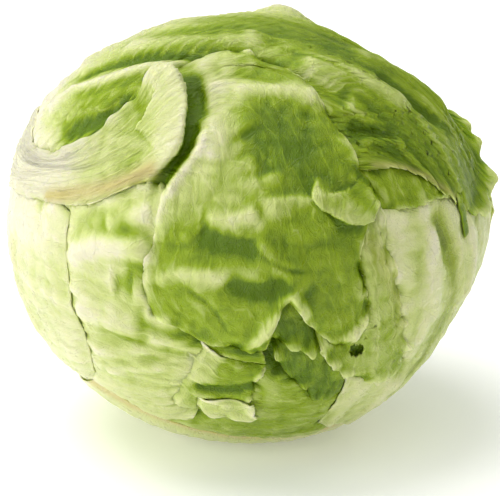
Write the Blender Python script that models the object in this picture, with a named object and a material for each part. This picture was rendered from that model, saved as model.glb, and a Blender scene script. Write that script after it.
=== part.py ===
"""A head of crisp lettuce lying on its side: a cut stem and the leaves that wrap round it.

Metres, +Z up. The head rests on the plane z = 0 under the middle of its box. The stem points
backwards (+Y) and to the left, and the leaf tips meet at the front (-Y), low and to the right.

Each leaf is a fan of ribs. A rib leaves the stem and runs over the head through a few places,
each given as a compass angle (0 at the front, + to the right) and an elevation, in degrees; its
last place is on the leaf's margin. The leaves are built from the outside in. Each one lies on
the round of the head where nothing covers it and sinks under the leaves that do, so no two of
them meet.
"""

import math

import bmesh
import bpy
import numpy as np
from mathutils import Matrix, Vector
from mathutils.bvhtree import BVHTree

# The head's driving dimensions.
HALF_WIDTH = 0.0850
HALF_DEPTH = 0.0800
HALF_HEIGHT = 0.0775
REST_HEIGHT = 0.0735  # centre of the head above the floor, so the bottom is pressed flat
HEAD_PLACE = Vector((0.0006, 0.0004, REST_HEIGHT))  # puts the middle of the box over the origin
PRESS_EDGE = 0.0008  # how softly the pressed place turns into the round of the head

# Swellings (+) and hollows (-) of the head: compass, elevation, angular radius, height.
SWELLINGS = (
    (-95.0, 20.0, 26.0, 0.0022),
    (119.0, 53.0, 22.0, -0.0078),
    (85.0, -30.0, 20.0, -0.0070),
    (-155.0, 68.0, 14.0, -0.0070),
    (-115.0, 48.0, 11.0, -0.0030),
    (157.0, 67.0, 8.0, 0.0035),
    (101.0, 32.0, 11.0, -0.0035),
)

# The stem, and the hollow round its cut face.
STEM_AXIS = Vector((-0.32, 0.92, 0.16)).normalized()
STEM_TIP_RADIUS = 0.0080
STEM_CUT_RADIUS = 0.0150
STEM_TIP_REACH = 0.0270
STEM_CUT_REACH = 0.0735
STEM_BEVEL = 0.0012
STEM_SIDES = 28
STEM_CLEARANCE = 0.0007
STEM_HOLLOW = (17.0, -0.0050)  # angular radius and height of the dimple that the stem sits in

# Leaves.
LEAF_SPACING = 0.0023
LEAF_THICKNESS = 0.0008
SPAN_ROWS = 12  # cells along a rib
SPAN_COLUMNS = 16  # cells across the ribs
STIFFNESS = 0.94  # how slowly a leaf rises again beyond the edge of one that covers it
SETTLE_ROUNDS = 60

# Outer leaves, outermost first, each rib from the stem to the margin.
OUTER_LEAVES = {
    "front_leaf": (
        ((-125, 6), (-92, 10), (-50, 17), (-28, 27.5), (-23, 20), (-26, 3), (-24, -5)),
        ((-120, 18), (-84, 16), (-51, 21.5), (-31, 29.5), (-21, 32), (-15, 28), (-15, 3), (-11, -10.5)),
        ((-118, 24), (-81, 20), (-53, 25), (-35, 34), (-22, 40), (-10, 43), (-1, 10), (3, -12.5)),
        ((-117, 28), (-80, 22), (-56, 26), (-41, 36), (-28, 46), (-6, 54), (8, 38), (9, 1)),
        ((-117, 29), (-80, 22.5), (-57, 26.5), (-44, 36), (-33, 47), (0, 58), (13, 42), (13, 18), (14, -5)),
        ((-116, 31), (-80, 24), (-60, 27.5), (-49, 36), (-42, 47), (-28, 60), (18, 58), (25, 40), (22, 12),
         (25, -13)),
        ((-115, 32), (-80, 25), (-62, 28), (-50, 37), (-45, 47), (-36, 60), (-6, 68), (24, 54), (31, 32),
         (34, 20), (27, 13), (30, -4)),
    ),
    "top_leaf": (
        ((-115, 14), (-72, 18), (-42, 30), (-5, 42), (20, 32), (36, 29)),
        ((-115, 38), (-75, 45), (-35, 57), (5, 58), (34, 45), (47, 26)),
        ((-120, 50), (-80, 62), (-20, 75), (35, 65), (56, 42), (61, 15)),
        ((-132, 60), (-110, 75), (50, 84), (72, 62), (76, 38), (75, 8)),
        ((-145, 62), (-155, 78), (110, 76), (92, 58), (88, 36), (86, 13)),
        ((-155, 56), (170, 72), (128, 62), (110, 50), (101, 38), (95, 26)),
        ((-163, 46), (168, 56), (144, 50), (128, 43), (116, 38), (107, 34)),
    ),
    "under_leaf": (
        ((-150, -12), (-118, -32), (-82, -40), (-52, -32)),
        ((-150, -26), (-120, -55), (-75, -64), (-32, -45)),
        ((-155, -36), (-150, -74), (-20, -82), (-4, -54)),
        ((-165, -40), (160, -72), (60, -75), (40, -52)),
        ((-175, -34), (145, -52), (105, -55), (78, -40)),
    ),
    "side_leaf": (
        ((-140, 12), (-105, 15), (-72, 14), (-48, 10)),
        ((-140, 2), (-104, -2), (-72, -3), (-47, -6)),
        ((-142, -8), (-106, -16), (-74, -19), (-45, -18)),
        ((-144, -16), (-112, -30), (-80, -36), (-50, -30)),
    ),
    "back_leaf": (
        ((-178, 24), (152, 36), (118, 30), (97, 14)),
        ((-178, 12), (148, 12), (112, 8), (88, 0)),
        ((-178, 0), (146, -12), (112, -14), (87, -14)),
        ((-174, -12), (150, -34), (118, -38), (92, -30)),
    ),
    "shoulder_leaf": (
        ((-125, 45), (-60, 60), (0, 50), (24, 36), (31, 22)),
        ((-135, 58), (-70, 76), (22, 60), (38, 40), (42, 18)),
        ((-150, 62), (170, 82), (75, 68), (62, 42), (57, 17)),
        ((-165, 55), (150, 62), (112, 55), (90, 38), (77, 11)),
    ),
    "cheek_leaf": (
        ((-136, 22), (-100, 26), (-55, 25), (-12, 16)),
        ((-138, 10), (-100, 10), (-48, 6), (-2, -4)),
        ((-138, -2), (-100, -6), (-45, -10), (4, -17)),
        ((-140, -12), (-102, -20), (-46, -22), (0, -25)),
        ((-142, -22), (-108, -34), (-52, -35), (-13, -33)),
        ((-146, -32), (-115, -45), (-60, -46), (-20, -42)),
    ),
    "collar_leaf": (
        ((-128, 48), (-66, 62), (0, 38), (12, 8), (17, -13)),
        ((-134, 56), (-70, 74), (14, 42), (23, 8), (24, -21)),
        ((-142, 60), (-110, 84), (26, 44), (30, 10), (34, -25)),
        ((-150, 62), (120, 84), (34, 44), (34, 6), (47, -27)),
    ),
    "right_leaf": (
        ((-150, 60), (60, 78), (28, 40), (26, 0), (26, -36)),
        ((-158, 60), (90, 76), (58, 40), (56, 0), (56, -44)),
        ((-165, 56), (125, 66), (84, 38), (76, -2), (76, -44)),
        ((-172, 48), (142, 52), (108, 32), (98, -6), (96, -40)),
        ((-177, 34), (152, 34), (128, 14), (118, -10), (116, -34)),
    ),
    "lip_leaf": (
        ((-120, 30), (-60, 40), (-14, 24), (2, -9)),
        ((-124, 42), (-56, 56), (2, 28), (14, -14)),
        ((-132, 52), (-40, 72), (20, 30), (25, -10)),
    ),
    "tongue_leaf": (
        ((-126, 38), (-70, 50), (-4, 22), (8, -19)),
        ((-134, 50), (-60, 70), (16, 22), (17, -28)),
        ((-144, 56), (-60, 84), (34, 24), (27, -31)),
        ((-154, 58), (110, 80), (50, 22), (37, -26)),
    ),
    "chin_leaf": (
        ((-136, 8), (-96, 8), (-40, 2), (12, -12)),
        ((-138, -6), (-98, -12), (-40, -18), (24, -24)),
        ((-142, -20), (-106, -32), (-44, -36), (34, -36)),
        ((-148, -32), (-118, -52), (-50, -54), (38, -50)),
    ),
}

# Hidden leaves: each is turned by the same angle about the stem from the one outside it.
INNER_LEAF_COUNT = 7
INNER_TURN = 137.5
INNER_HALF_FAN = 78.0
INNER_RIBS = 5
INNER_REACH = (60.0, 110.0, 150.0)  # angles from the stem of the places along a rib
INNER_SPACING = 0.0031
HEART_RADIUS = 0.0255


def unit(vectors):
    return vectors / np.linalg.norm(vectors, axis=-1, keepdims=True)


STEM = np.array(STEM_AXIS)
UPWARD = unit(np.array((0.0, 0.0, 1.0)) - STEM[2] * STEM)
RIGHTWARD = np.cross(STEM, UPWARD)


def compass_direction(compass, elevation):
    """The direction at an angle from the front, and above the horizon, in degrees."""
    turn, rise = math.radians(compass), math.radians(elevation)
    return np.array(
        (math.sin(turn) * math.cos(rise), -math.cos(turn) * math.cos(rise), math.sin(rise))
    )


def stem_direction(azimuth, reach):
    """The direction `reach` degrees from the stem, at an angle round it (0 up, 90 right)."""
    turn, away = math.radians(azimuth), math.radians(reach)
    side = math.cos(turn) * UPWARD + math.sin(turn) * RIGHTWARD
    return math.cos(away) * STEM + math.sin(away) * side


def head_radius(directions):
    """Distance from the head's centre to its outside."""
    semi_axes = np.array((HALF_WIDTH, HALF_DEPTH, HALF_HEIGHT))
    radius = 1.0 / np.linalg.norm(directions / semi_axes, axis=-1)
    swellings = [(compass_direction(turn, rise), size, height) for turn, rise, size, height in SWELLINGS]
    swellings.append((STEM, *STEM_HOLLOW))
    for middle, size, height in swellings:
        angle = np.degrees(np.arccos(np.clip(directions @ middle, -1.0, 1.0)))
        radius = radius + height * np.exp(-((angle / size) ** 2))
    floor = REST_HEIGHT / np.maximum(-directions[..., 2], 1e-3)
    soft = np.maximum(PRESS_EDGE - np.abs(radius - floor), 0.0)
    return np.minimum(radius, floor) - np.where(radius < floor, soft * soft / (4 * PRESS_EDGE), 0.0)


def spline(knots, positions):
    """Points at the given knot positions on the smooth curve through the knots (first axis)."""
    padded = np.concatenate((2 * knots[:1] - knots[1:2], knots, 2 * knots[-1:] - knots[-2:-1]))
    start = np.clip(positions.astype(int), 0, len(knots) - 2)
    t = (positions - start).reshape((-1,) + (1,) * (knots.ndim - 1))
    a, b, c, d = (padded[start + offset] for offset in range(4))
    return 0.5 * (2 * b + (c - a) * t + (2 * a - 5 * b + 4 * c - d) * t**2 + (3 * b - a - 3 * c + d) * t**3)


def leaf_directions(ribs, rows, columns):
    """Directions from the head's centre to places on a leaf, as rows from the stem outwards."""
    evened = []
    for rib in ribs:
        first = compass_direction(*rib[0])
        away = unit(first - (first @ STEM) * STEM)
        start = stem_direction(0.0, 0.0) * math.cos(STEM_START) + away * math.sin(STEM_START)
        knots = np.array([start] + [compass_direction(*place) for place in rib])
        curve = spline(knots, np.linspace(0.0, len(knots) - 1.0, 120))
        length = np.concatenate(([0.0], np.cumsum(np.linalg.norm(np.diff(curve, axis=0), axis=-1))))
        even = np.interp(np.linspace(0.0, length[-1], rows + 1), length, np.arange(120.0))
        evened.append(spline(curve, even))
    return unit(np.swapaxes(spline(np.array(evened), np.linspace(0.0, len(ribs) - 1.0, columns + 1)), 0, 1))


STEM_START = math.asin((STEM_CUT_RADIUS + STEM_CLEARANCE) / STEM_CUT_REACH)


def widest(grid):
    """Each place's largest value among itself and its neighbours."""
    padded = np.pad(grid, 1, mode="edge")
    rows, columns = grid.shape
    return np.max([padded[i : i + rows, j : j + columns] for i in range(3) for j in range(3)], axis=0)


def settled(depth, sink):
    """The depth of a leaf that is pushed down at least this deep and springs back beyond."""
    pushed = widest(depth)
    lying = pushed.copy()
    for _ in range(SETTLE_ROUNDS):
        padded = np.pad(lying, 1, mode="edge")
        around = (padded[:-2, 1:-1] + padded[2:, 1:-1] + padded[1:-1, :-2] + padded[1:-1, 2:]) / 4
        lying = np.maximum(pushed, sink + STIFFNESS * (around - sink))
    return lying


def stem_radius(reach):
    share = (reach - STEM_TIP_REACH) / (STEM_CUT_REACH - STEM_TIP_REACH)
    return STEM_TIP_RADIUS + (STEM_CUT_RADIUS - STEM_TIP_RADIUS) * share


def leaf_surface(ribs, spacing, covering):
    """Points of a leaf's outer face, under the surfaces that already cover it."""
    directions = leaf_directions(ribs, SPAN_ROWS, SPAN_COLUMNS)
    outside = head_radius(directions)
    depth = np.zeros_like(outside)
    for place in np.ndindex(depth.shape):
        towards = Vector(directions[place])
        for tree in covering:
            distance = tree.ray_cast(Vector(), towards)[3]
            if distance is not None:
                depth[place] = max(depth[place], outside[place] - distance + spacing - LEAF_THICKNESS)
    points = directions * (outside - settled(depth, 0.0))[..., None]
    reach = points[0] @ STEM
    aside = points[0] - reach[:, None] * STEM
    points[0] = reach[:, None] * STEM + unit(aside) * (stem_radius(reach) + STEM_CLEARANCE)[:, None]
    return points


def add_material(name, colour, roughness):
    material = bpy.data.materials.new(name)
    material.use_nodes = True
    shader = material.node_tree.nodes["Principled BSDF"]
    shader.inputs["Base Color"].default_value = (*colour, 1.0)
    shader.inputs["Roughness"].default_value = roughness
    shader.inputs["Metallic"].default_value = 0.0
    return material


def add_object(name, mesh, material):
    mesh.materials.append(material)
    mesh.shade_smooth()
    mesh.transform(Matrix.Translation(HEAD_PLACE))
    made = bpy.data.objects.new(name, mesh)
    bpy.context.scene.collection.objects.link(made)
    return made


def add_leaf(name, ribs, spacing, covering, material):
    """One leaf: a thin closed shell. It joins the leaves that cover the next ones."""
    outer = leaf_surface(ribs, spacing, covering)
    inner = outer - LEAF_THICKNESS * unit(outer)
    rows, columns = outer.shape[:2]
    points = np.concatenate((outer.reshape(-1, 3), inner.reshape(-1, 3)))

    def corner(row, column, face):
        return face * rows * columns + row * columns + column

    faces = []
    for row in range(rows - 1):
        for column in range(columns - 1):
            ring = ((row, column), (row, column + 1), (row + 1, column + 1), (row + 1, column))
            faces.append([corner(*place, 0) for place in ring])
            faces.append([corner(*place, 1) for place in reversed(ring)])
    rim = [(0, column) for column in range(columns - 1)]
    rim += [(row, columns - 1) for row in range(rows - 1)]
    rim += [(rows - 1, column) for column in range(columns - 1, 0, -1)]
    rim += [(row, 0) for row in range(rows - 1, 0, -1)]
    for here, there in zip(rim, rim[1:] + rim[:1]):
        faces.append([corner(*there, 0), corner(*here, 0), corner(*here, 1), corner(*there, 1)])
    mesh = bpy.data.meshes.new(name)
    mesh.from_pydata(points.tolist(), [], faces)
    shell = bmesh.new()
    shell.from_mesh(mesh)
    bmesh.ops.triangulate(shell, faces=shell.faces)
    bmesh.ops.recalc_face_normals(shell, faces=shell.faces)
    shell.to_mesh(mesh)
    covering.append(BVHTree.FromBMesh(shell))
    shell.free()
    return add_object(name, mesh, material)


def inner_ribs(number):
    """The ribs of a hidden leaf, the next one round the stem from the one outside it."""
    ribs = []
    for rib in range(INNER_RIBS):
        azimuth = INNER_TURN * number + INNER_HALF_FAN * (2.0 * rib / (INNER_RIBS - 1) - 1.0)
        places = []
        for reach in INNER_REACH:
            x, y, z = stem_direction(azimuth, reach)
            places.append((math.degrees(math.atan2(x, -y)), math.degrees(math.asin(z))))
        ribs.append(places)
    return ribs


def add_turned(name, profile, material):
    """A round solid about the stem's axis, from (radius, reach) pairs between two end faces."""
    solid = bmesh.new()
    rings = []
    for radius, reach in profile:
        ring = []
        for side in range(STEM_SIDES):
            turn = math.tau * side / STEM_SIDES
            place = Vector((radius * math.cos(turn), radius * math.sin(turn), reach))
            ring.append(solid.verts.new(place))
        rings.append(ring)
    for lower, upper in zip(rings, rings[1:]):
        for side in range(STEM_SIDES):
            after = (side + 1) % STEM_SIDES
            solid.faces.new((lower[side], lower[after], upper[after], upper[side]))
    solid.faces.new(rings[0][::-1])
    solid.faces.new(rings[-1])
    bmesh.ops.recalc_face_normals(solid, faces=solid.faces)
    mesh = bpy.data.meshes.new(name)
    solid.to_mesh(mesh)
    solid.free()
    mesh.transform(Matrix(np.column_stack((RIGHTWARD, -UPWARD, STEM)).tolist()).to_4x4())
    return add_object(name, mesh, material)


def add_stem(material):
    """The stem: a cone that widens towards its cut face, with a softened edge there."""
    reaches = np.linspace(STEM_TIP_REACH, STEM_CUT_REACH - STEM_BEVEL, 5)
    profile = [(stem_radius(reach), reach) for reach in reaches]
    profile.append((stem_radius(STEM_CUT_REACH) - STEM_BEVEL, STEM_CUT_REACH))
    return add_turned("stem", profile, material)


def add_heart(material):
    """The heart: the youngest leaves, still one tight bud at the end of the stem."""
    rings = 12
    profile = []
    for step in range(rings + 1):
        turn = math.pi * (0.04 + 0.92 * step / rings)
        profile.append((HEART_RADIUS * math.sin(turn), -HEART_RADIUS * math.cos(turn)))
    return add_turned("heart_bud", profile, material)


def main():
    for old in list(bpy.data.objects):
        bpy.data.objects.remove(old)
    green = add_material("outer_green", (0.36, 0.47, 0.12), 0.45)
    pale = add_material("inner_pale", (0.72, 0.76, 0.42), 0.45)
    covering = []
    for name, ribs in OUTER_LEAVES.items():
        add_leaf(name, ribs, LEAF_SPACING, covering, green)
    for number in range(INNER_LEAF_COUNT):
        add_leaf(f"inner_leaf_{number + 1}", inner_ribs(number), INNER_SPACING, covering, pale)
    add_heart(add_material("heart_yellow", (0.78, 0.77, 0.42), 0.5))
    add_stem(add_material("stem_white", (0.74, 0.66, 0.47), 0.6))


if __name__ == "__main__":
    main()
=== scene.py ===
"""Finish of the lettuce head: crinkled leaves, their veins and colours, the stem, light and floor."""

import math
from dataclasses import dataclass

import bmesh
import bpy
import numpy as np
from bpy.props import FloatProperty, FloatVectorProperty, IntProperty, PointerProperty
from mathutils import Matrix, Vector
from mathutils.bvhtree import BVHTree


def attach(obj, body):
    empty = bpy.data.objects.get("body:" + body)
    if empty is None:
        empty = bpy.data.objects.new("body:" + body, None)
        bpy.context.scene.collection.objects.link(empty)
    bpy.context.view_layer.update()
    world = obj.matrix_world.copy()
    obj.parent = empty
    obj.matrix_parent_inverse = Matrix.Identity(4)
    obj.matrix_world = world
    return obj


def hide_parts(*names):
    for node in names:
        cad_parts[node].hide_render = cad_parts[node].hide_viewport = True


bl_info = {
    "name": "Lettuce Head",
    "version": (1, 0, 0),
    "blender": (4, 5, 0),
    "location": "3D View > Sidebar > Lettuce",
    "description": "Builds the leaves, stem and stage of a head of crisp lettuce",
    "category": "Add Mesh",
}

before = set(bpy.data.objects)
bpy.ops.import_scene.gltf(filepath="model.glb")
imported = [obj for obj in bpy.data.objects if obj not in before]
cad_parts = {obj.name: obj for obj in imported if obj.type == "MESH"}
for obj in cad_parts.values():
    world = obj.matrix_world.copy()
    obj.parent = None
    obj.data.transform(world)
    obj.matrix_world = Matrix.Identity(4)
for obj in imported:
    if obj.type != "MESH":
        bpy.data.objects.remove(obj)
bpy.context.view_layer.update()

MM = 0.001

# The head's own frame: the centre of its leaves over the floor, and the stem's direction.
HEAD_PLACE = Vector((0.0006, 0.0004, 0.0735))
HALF_WIDTH = 0.0850
HALF_DEPTH = 0.0800
HALF_HEIGHT = 0.0775
STEM_AXIS = Vector((-0.32, 0.92, 0.16)).normalized()

# Where the floor presses the head flat: how far over it the leaves stay, and how softly they
# turn up from it.
FLOOR_CLEARANCE = 0.0006
PRESS_EDGE = 0.0008

# The stem's two ends, the rounding of its cut and the dish in it, the room the leaves leave
# round it, and the head's hollow there, as (angular radius, height).
STEM_CUT_RADIUS = 0.0150
STEM_TIP_RADIUS = 0.0080
STEM_CUT_REACH = 0.0735
STEM_TIP_REACH = 0.0270
STEM_ROUNDING = 0.0008
STEM_DISH = 0.0004
STEM_UNEVENNESS = 0.03
STEM_LEAF_GAP = 0.0007
STEM_HOLLOW = (17.0, -0.0050)

# Swellings (+) and hollows (-) of the whole head: compass, elevation, angular radius, height.
SWELLINGS = (
    (-95.0, 20.0, 26.0, 0.0022),
    (119.0, 53.0, 22.0, -0.0078),
    (85.0, -30.0, 20.0, -0.0070),
    (-155.0, 68.0, 14.0, -0.0070),
    (-115.0, 48.0, 11.0, -0.0030),
    (157.0, 67.0, 8.0, 0.0035),
    (101.0, 32.0, 11.0, -0.0035),
    (90.0, 20.0, 12.0, -0.0022),
)

# Waves of noise that shape a leaf, each as (height, size, step of the seed). The lumps are the
# same for all leaves, so that they swell together.
MARGIN_WAVES = ((1.0, 0.016, 0), (0.7, 0.007, 1))
LUMP_WAVES = ((0.8, 0.030, 4), (0.5, 0.014, 7))
CREASE_WAVES = ((1.0, 0.0075, 11), (0.6, 0.0042, 12))
PLEAT_WAVES = ((0.7, 0.0060, 9), (0.35, 0.0032, 10))
RUFFLE_WAVES = ((1.3, 0.009, 5), (0.7, 0.004, 6))

# How far inland from the margin its shapes reach, and the pale rim.
RUFFLE_REACH = 4.0 * MM
FRILL_REACH = 3.0 * MM
ROLL_REACH = 2.5 * MM
FLARE_REACH = 5.0 * MM
RIM_REACH = 1.2 * MM

TOOTH_LENGTH = 0.0050
CREASE_LEVEL = 0.4
CREASE_GAIN = 1.6
PLEAT_STRETCH = 0.09
FRILL_SIZE = 0.0048
FRILL_GAIN = 2.2

# A fold fades over this share of its length at both ends. A ridge with a side no wider than
# STEEP_SIDE hangs over there, by a share of its height.
FOLD_FADE = 0.18
STEEP_SIDE = 1.5 * MM
OVERHANG = 0.4
OVERHANG_REACH = 3.0 * MM
OVERHANG_EDGE = 0.8 * MM

# A leaf's mesh cells are this much shorter at its tip than at the stem, and only one in a few
# casts a ray when the leaf is laid under the others. A flap's root sinks into its leaf, and its
# first rows cover nothing. Points this near a hole's rim are moved onto it.
TIP_FINENESS = 1.8
DRAPE_STEP = 3
FLAP_ROOT_DEPTH = 3.0 * MM
FLAP_ROOT_REACH = 7.0 * MM
FLAP_ROOT_ROWS = 8
RIM_SNAP = 0.35 * MM

# What makes a leaf greener: patches of its own colour, and painted shade in hollows and grooves, which also
# paints ridges paler as a painted highlight.
PATCH_GREEN = 0.10
PATCH_SIZE = 0.022
HOLLOW_SHADE_AND_HIGHLIGHT = 0.28
HOLLOW_DEPTH = 2.0 * MM
GROOVE_SHADE_AND_HIGHLIGHT = 0.12
GROOVE_DEPTH = 0.25 * MM

# The leaf map is in centimetres. Where a leaf lies under another, its relief is lower.
MAP_SCALE = 100.0
COVERED_RELIEF = 0.35


@dataclass
class Leaf:
    """What one sheet of leaf is like.

    ribs: places its ribs pass through, from the stem to the margin, as (compass, elevation).
    cell: size of a mesh cell in mm. teeth, wave: how far the margin's teeth and waves stand out.
    ruffle: how far the margin curls up and down. roll: how far the side margins turn down.
    base, blade: greenness at the stem and at the tip, changing between the shares in turn.
    folds: (places, height, left, right) of ridges (+) and grooves (-) with their widths to the
    left and right of the line, in mm; a steep side hangs over. tints: (places, width, added
    greenness, added tan) of patches of colour: some are the leaf's own colour, and some paint
    shade (added green) into grooves and pits or a highlight (less green) along ridges.
    lumps, crumple, pleats: heights of large lumps, small ones, and of pleats along the ribs.
    slant: how much the veins turn from the ribs.
    frill: how far short waves lift the margin, and flare: how far the tip stands up (-: turns
    down), both from the first rib to the last. holes: (place, radius in mm). flap: whether it
    grows from the leaf under it.
    """

    ribs: tuple
    cell: float = 1.0
    teeth: float = 0.3
    wave: float = 0.6
    ruffle: float = 0.6
    roll: float = 0.8
    base: float = 0.1
    blade: float = 0.6
    turn: tuple = (0.1, 0.7)
    folds: tuple = ()
    tints: tuple = ()
    lumps: float = 1.0
    crumple: float = 0.35
    pleats: float = 0.5
    slant: float = 0.0
    frill: tuple = (0.0, 0.0)
    flare: tuple = (0.0, 0.0)
    holes: tuple = ()
    flap: bool = False


FRONT_LEAF = Leaf(
    ribs=(
        ((-125, 6), (-92, 10), (-50, 17), (-28, 27.5), (-24, 26), (-23, 20), (-26, 3), (-24, -5)),
        ((-122, 13), (-87, 14), (-50, 19.5), (-29, 28.5), (-22, 29), (-19, 22), (-21, 4), (-18, -6.5)),
        ((-120, 18), (-84, 16), (-51, 21.5), (-31, 29.5), (-21, 32), (-15, 28), (-15, 3), (-11, -10.5)),
        ((-119, 22), (-82, 18), (-52, 23.5), (-33, 31.5), (-20, 36), (-11, 36), (-8, 8), (-4, -12)),
        ((-118, 24), (-81, 20), (-53, 25), (-35, 34), (-22, 40), (-10, 43), (-1, 10), (3, -12.5)),
        ((-118, 26), (-80, 21), (-54, 25.5), (-38, 35), (-25, 43), (-8, 50), (3, 38), (6, -4)),
        ((-117, 28), (-80, 22), (-56, 26), (-41, 36), (-28, 46), (-6, 54), (8, 38), (9, 1)),
        ((-117, 29), (-80, 22.5), (-57, 26.5), (-44, 36), (-33, 47), (0, 58), (13, 42), (13, 18), (14, -5)),
        ((-116, 30), (-80, 23), (-58, 27), (-47, 36), (-38, 47), (2, 62), (18, 44), (18, 14), (21, -12)),
        ((-116, 31), (-80, 24), (-60, 27.5), (-49, 36), (-42, 47), (-28, 60), (18, 58), (25, 40),
         (22, 12), (25, -13)),
        ((-115, 32), (-80, 25), (-62, 28), (-50, 37), (-45, 47), (-36, 60), (-6, 68), (24, 54), (31, 32),
         (34, 20), (27, 13), (30, -4)),
    ),
    cell=0.8, wave=1.1, teeth=0.8, ruffle=2.0, base=0.12, blade=0.76, turn=(0.2, 0.75), crumple=0.35,
    pleats=0.1, slant=-0.35, frill=(0.7, 0.7),
    folds=(
        (((-48, 48), (-39, 54), (-31, 54), (-24, 48.5), (-21.5, 42), (-22, 35), (-31, 25)), 5.5, 1.0, 13.0),
        (((-25, 57), (-18.5, 48), (-17.5, 39), (-22.5, 30), (-30, 22)), -3.6, 2.5, 2.3),
        (((-20, 54), (-17, 44), (-15, 37), (-20, 29), (-23, 20), (-27, 5)), 2.2, 2.0, 4.0),
        (((20, 30), (16.5, 24.5), (21, 20.5), (25.5, 18), (31, 18), (40, 19)), 3.0, 9.0, 1.0),
        (((0, 24), (8, 24.5), (15, 24), (19, 19), (21, 15)), 1.2, 1.6, 5.0),
        (((-10, 53), (0, 54), (12, 53), (20, 52), (30, 46)), 1.6, 3.0, 5.0),
        (((-15, 46), (-11, 40), (-12, 33)), 1.8, 4.0, 5.0),
        (((-2, 44), (3, 37), (6, 30)), -1.6, 5.0, 6.0),
        (((-12, 20), (-4, 20), (3, 22)), 1.5, 3.0, 4.0),
        (((-24, 4), (-14, 7), (-2, 6)), 1.5, 2.5, 4.0),
        (((-7, 7), (-2, 4), (4, 3), (9, 6)), -1.8, 3.5, 3.5),
        (((-14, 17), (-6, 14), (3, 12)), -1.6, 4.5, 4.5),
        (((0, 14), (7, 9), (14, 7)), -0.6, 1.0, 1.0),
        (((-16, 4), (-9, -1), (-5, -8)), -0.5, 1.0, 1.0),
        (((0, 16), (8, 8), (14, 2)), 1.2, 4.0, 2.5),
        (((-2, -13), (3, -8), (6, -3), (9, 2), (12, -1), (15, -6)), 3.2, 2.2, 1.8),
        (((22, -12), (27, -8), (31, -4), (32, 3)), 2.4, 1.8, 2.5),
    ),
    tints=(
        (((-58, 17), (-40, 24), (-28, 30)), 2.6, -0.1, 0.8),
        # Painted shade: greener down the groove under the lobe's rolled edge.
        (((-25, 55), (-18.5, 46), (-17.5, 38), (-22.5, 29), (-33, 22)), 3.2, 0.5, 0.0),
        (((-58, 17), (-45, 20), (-34, 26), (-27, 31)), 2.2, 0.0, 0.3),
        (((-100, 15), (-75, 20), (-62, 24)), 14.0, -0.3, 0.0),
        (((-48, 28), (-38, 36), (-30, 43)), 9.0, -0.03, 0.0),
        # Painted highlight: this tint and the next are paler along the ridge down the front face's left
        # rim.
        (((-24, 61), (-15, 54), (-13, 44), (-14, 36)), 8.0, -0.36, 0.0),
        (((-18, 31), (-23, 17), (-26, 2)), 3.5, -0.22, 0.0),
        # Painted highlight: paler along the upper side of the ridge at (-12, 20).
        (((-16, 23), (-6, 24)), 5.0, -0.15, 0.0),
        (((4, 44), (14, 36)), 9.0, 0.24, 0.0),
        # Painted shade: greener down the groove at (-7, 7).
        (((-3, 4), (1, 3), (6, 4)), 3.5, 0.3, 0.0),
        # Painted highlight: paler along the ridge over the top of the front face.
        (((-12, 55), (0, 54), (14, 53), (26, 47)), 3.5, -0.25, 0.0),
        (((21, 22), (27, 20), (34, 20)), 5.0, 0.12, 0.0),
        (((-21, 19), (-15, 18)), 4.0, -0.05, 0.0),
        # Painted shade: greener down the groove at (-14, 17).
        (((-11, 15), (-5, 14), (1, 13)), 4.5, 0.2, 0.0),
        (((4, 17), (9, 10), (13, 3)), 4.0, 0.12, 0.0),
        # Painted highlight: paler along the ridge at (-24, 4).
        (((-20, 8), (-8, 6), (0, 7)), 3.0, -0.15, 0.0),
        # Painted highlight: paler along the ridge at (-12, 20), further right.
        (((-4, 19), (6, 20)), 5.0, -0.12, 0.0),
    ),
)

HANGING_STRIP = Leaf(
    ribs=(
        ((61.5, 20), (61.5, 13), (61.5, 6)),
        ((64, 20), (64, 13), (63.5, 6.5)),
    ),
    cell=0.7, base=1.1, blade=1.1, flap=True, lumps=0.0, pleats=0.0, wave=0.0,
    teeth=0.0, ruffle=0.2, roll=0.0,
)

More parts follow.
